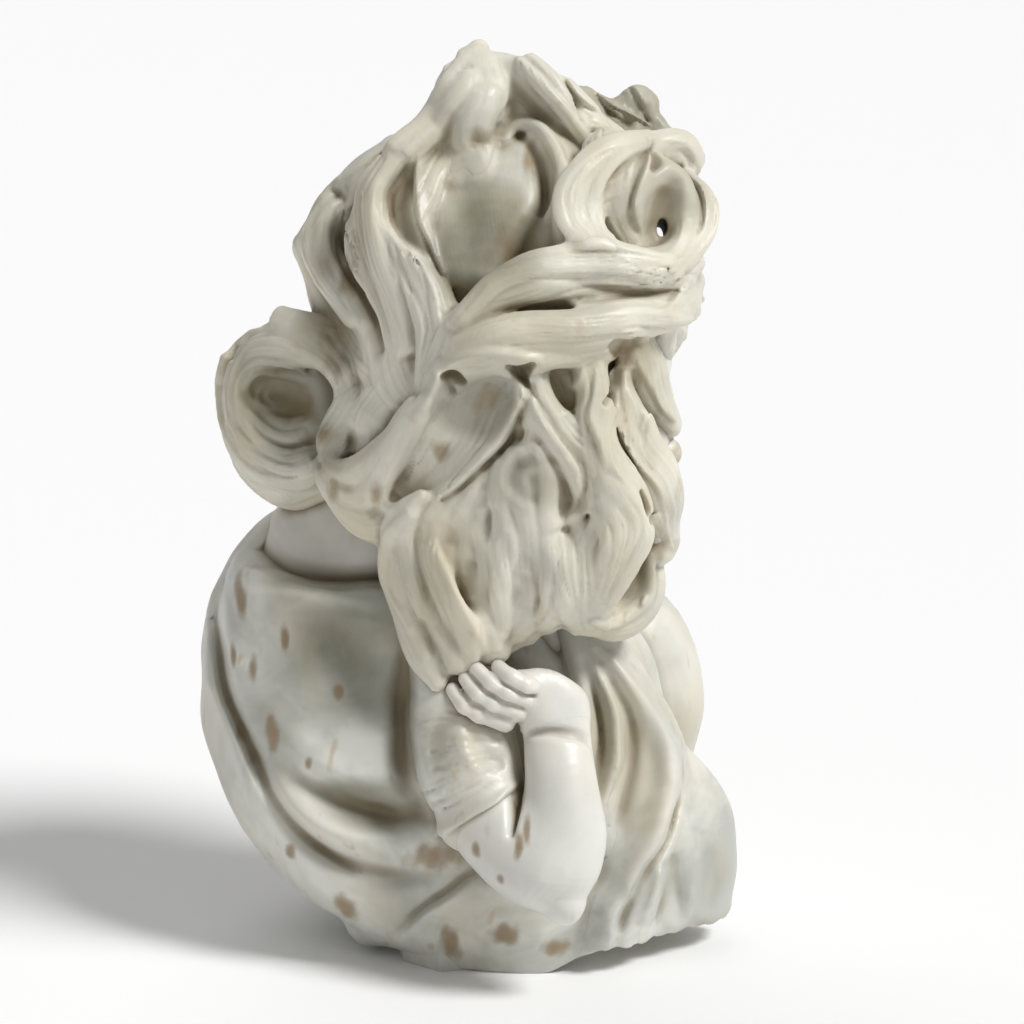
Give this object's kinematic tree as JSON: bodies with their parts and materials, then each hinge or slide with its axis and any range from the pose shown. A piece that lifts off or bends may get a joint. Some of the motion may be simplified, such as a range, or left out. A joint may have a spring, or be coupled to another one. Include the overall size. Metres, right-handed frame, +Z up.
{
  "type": "marble bust",
  "caption": "Carved marble bust of a woman with windswept hair and a nape bun, her bowed head resting on one hand, wrapped in a shawl, standing on a flat sawn foot",
  "frame": {"origin": "Middle of the bounding box in plan, at the level of the flat face that the bust stands on.", "axes": "+Z up, +X the way the head turns, -Y the near side with the raised arm; metres."},
  "size_m": [0.2623, 0.2151, 0.4446],
  "materials": {
    "skin_marble": "polished",
    "drapery_marble": "satin",
    "hair_marble": "satin"
  },
  "bodies": {
    "root": {"foot": "drapery_marble", "torso": "drapery_marble", "neck": "skin_marble", "shawl_near": "drapery_marble", "shawl_back": "drapery_marble", "shawl_rim": "drapery_marble", "under_fold": "drapery_marble", "sleeve": "drapery_marble", "upper_arm": "skin_marble", "forearm": "skin_marble", "hand": "skin_marble", "fingers": "skin_marble", "front_fold_inner": "drapery_marble", "front_fold_middle": "drapery_marble", "front_fold_outer": "drapery_marble", "front_panel": "drapery_marble", "far_shoulder": "drapery_marble", "head": "skin_marble", "hair_cap": "hair_marble", "back_sweep": "hair_marble", "back_roll": "hair_marble", "nape_bun": "hair_marble", "crown_tuft": "hair_marble", "rear_tuft": "hair_marble", "loop_roll": "hair_marble", "upper_band": "hair_marble", "lower_band": "hair_marble", "temple_leaf": "hair_marble", "neck_swoop": "hair_marble", "cheek_locks": "hair_marble", "brow_lock_near": "hair_marble", "brow_lock_middle": "hair_marble", "brow_lock_far": "hair_marble", "outer_lock": "hair_marble", "cup_curl": "hair_marble", "far_side_hair": "hair_marble", "far_face_locks": "hair_marble"}
  },
  "joints": []
}
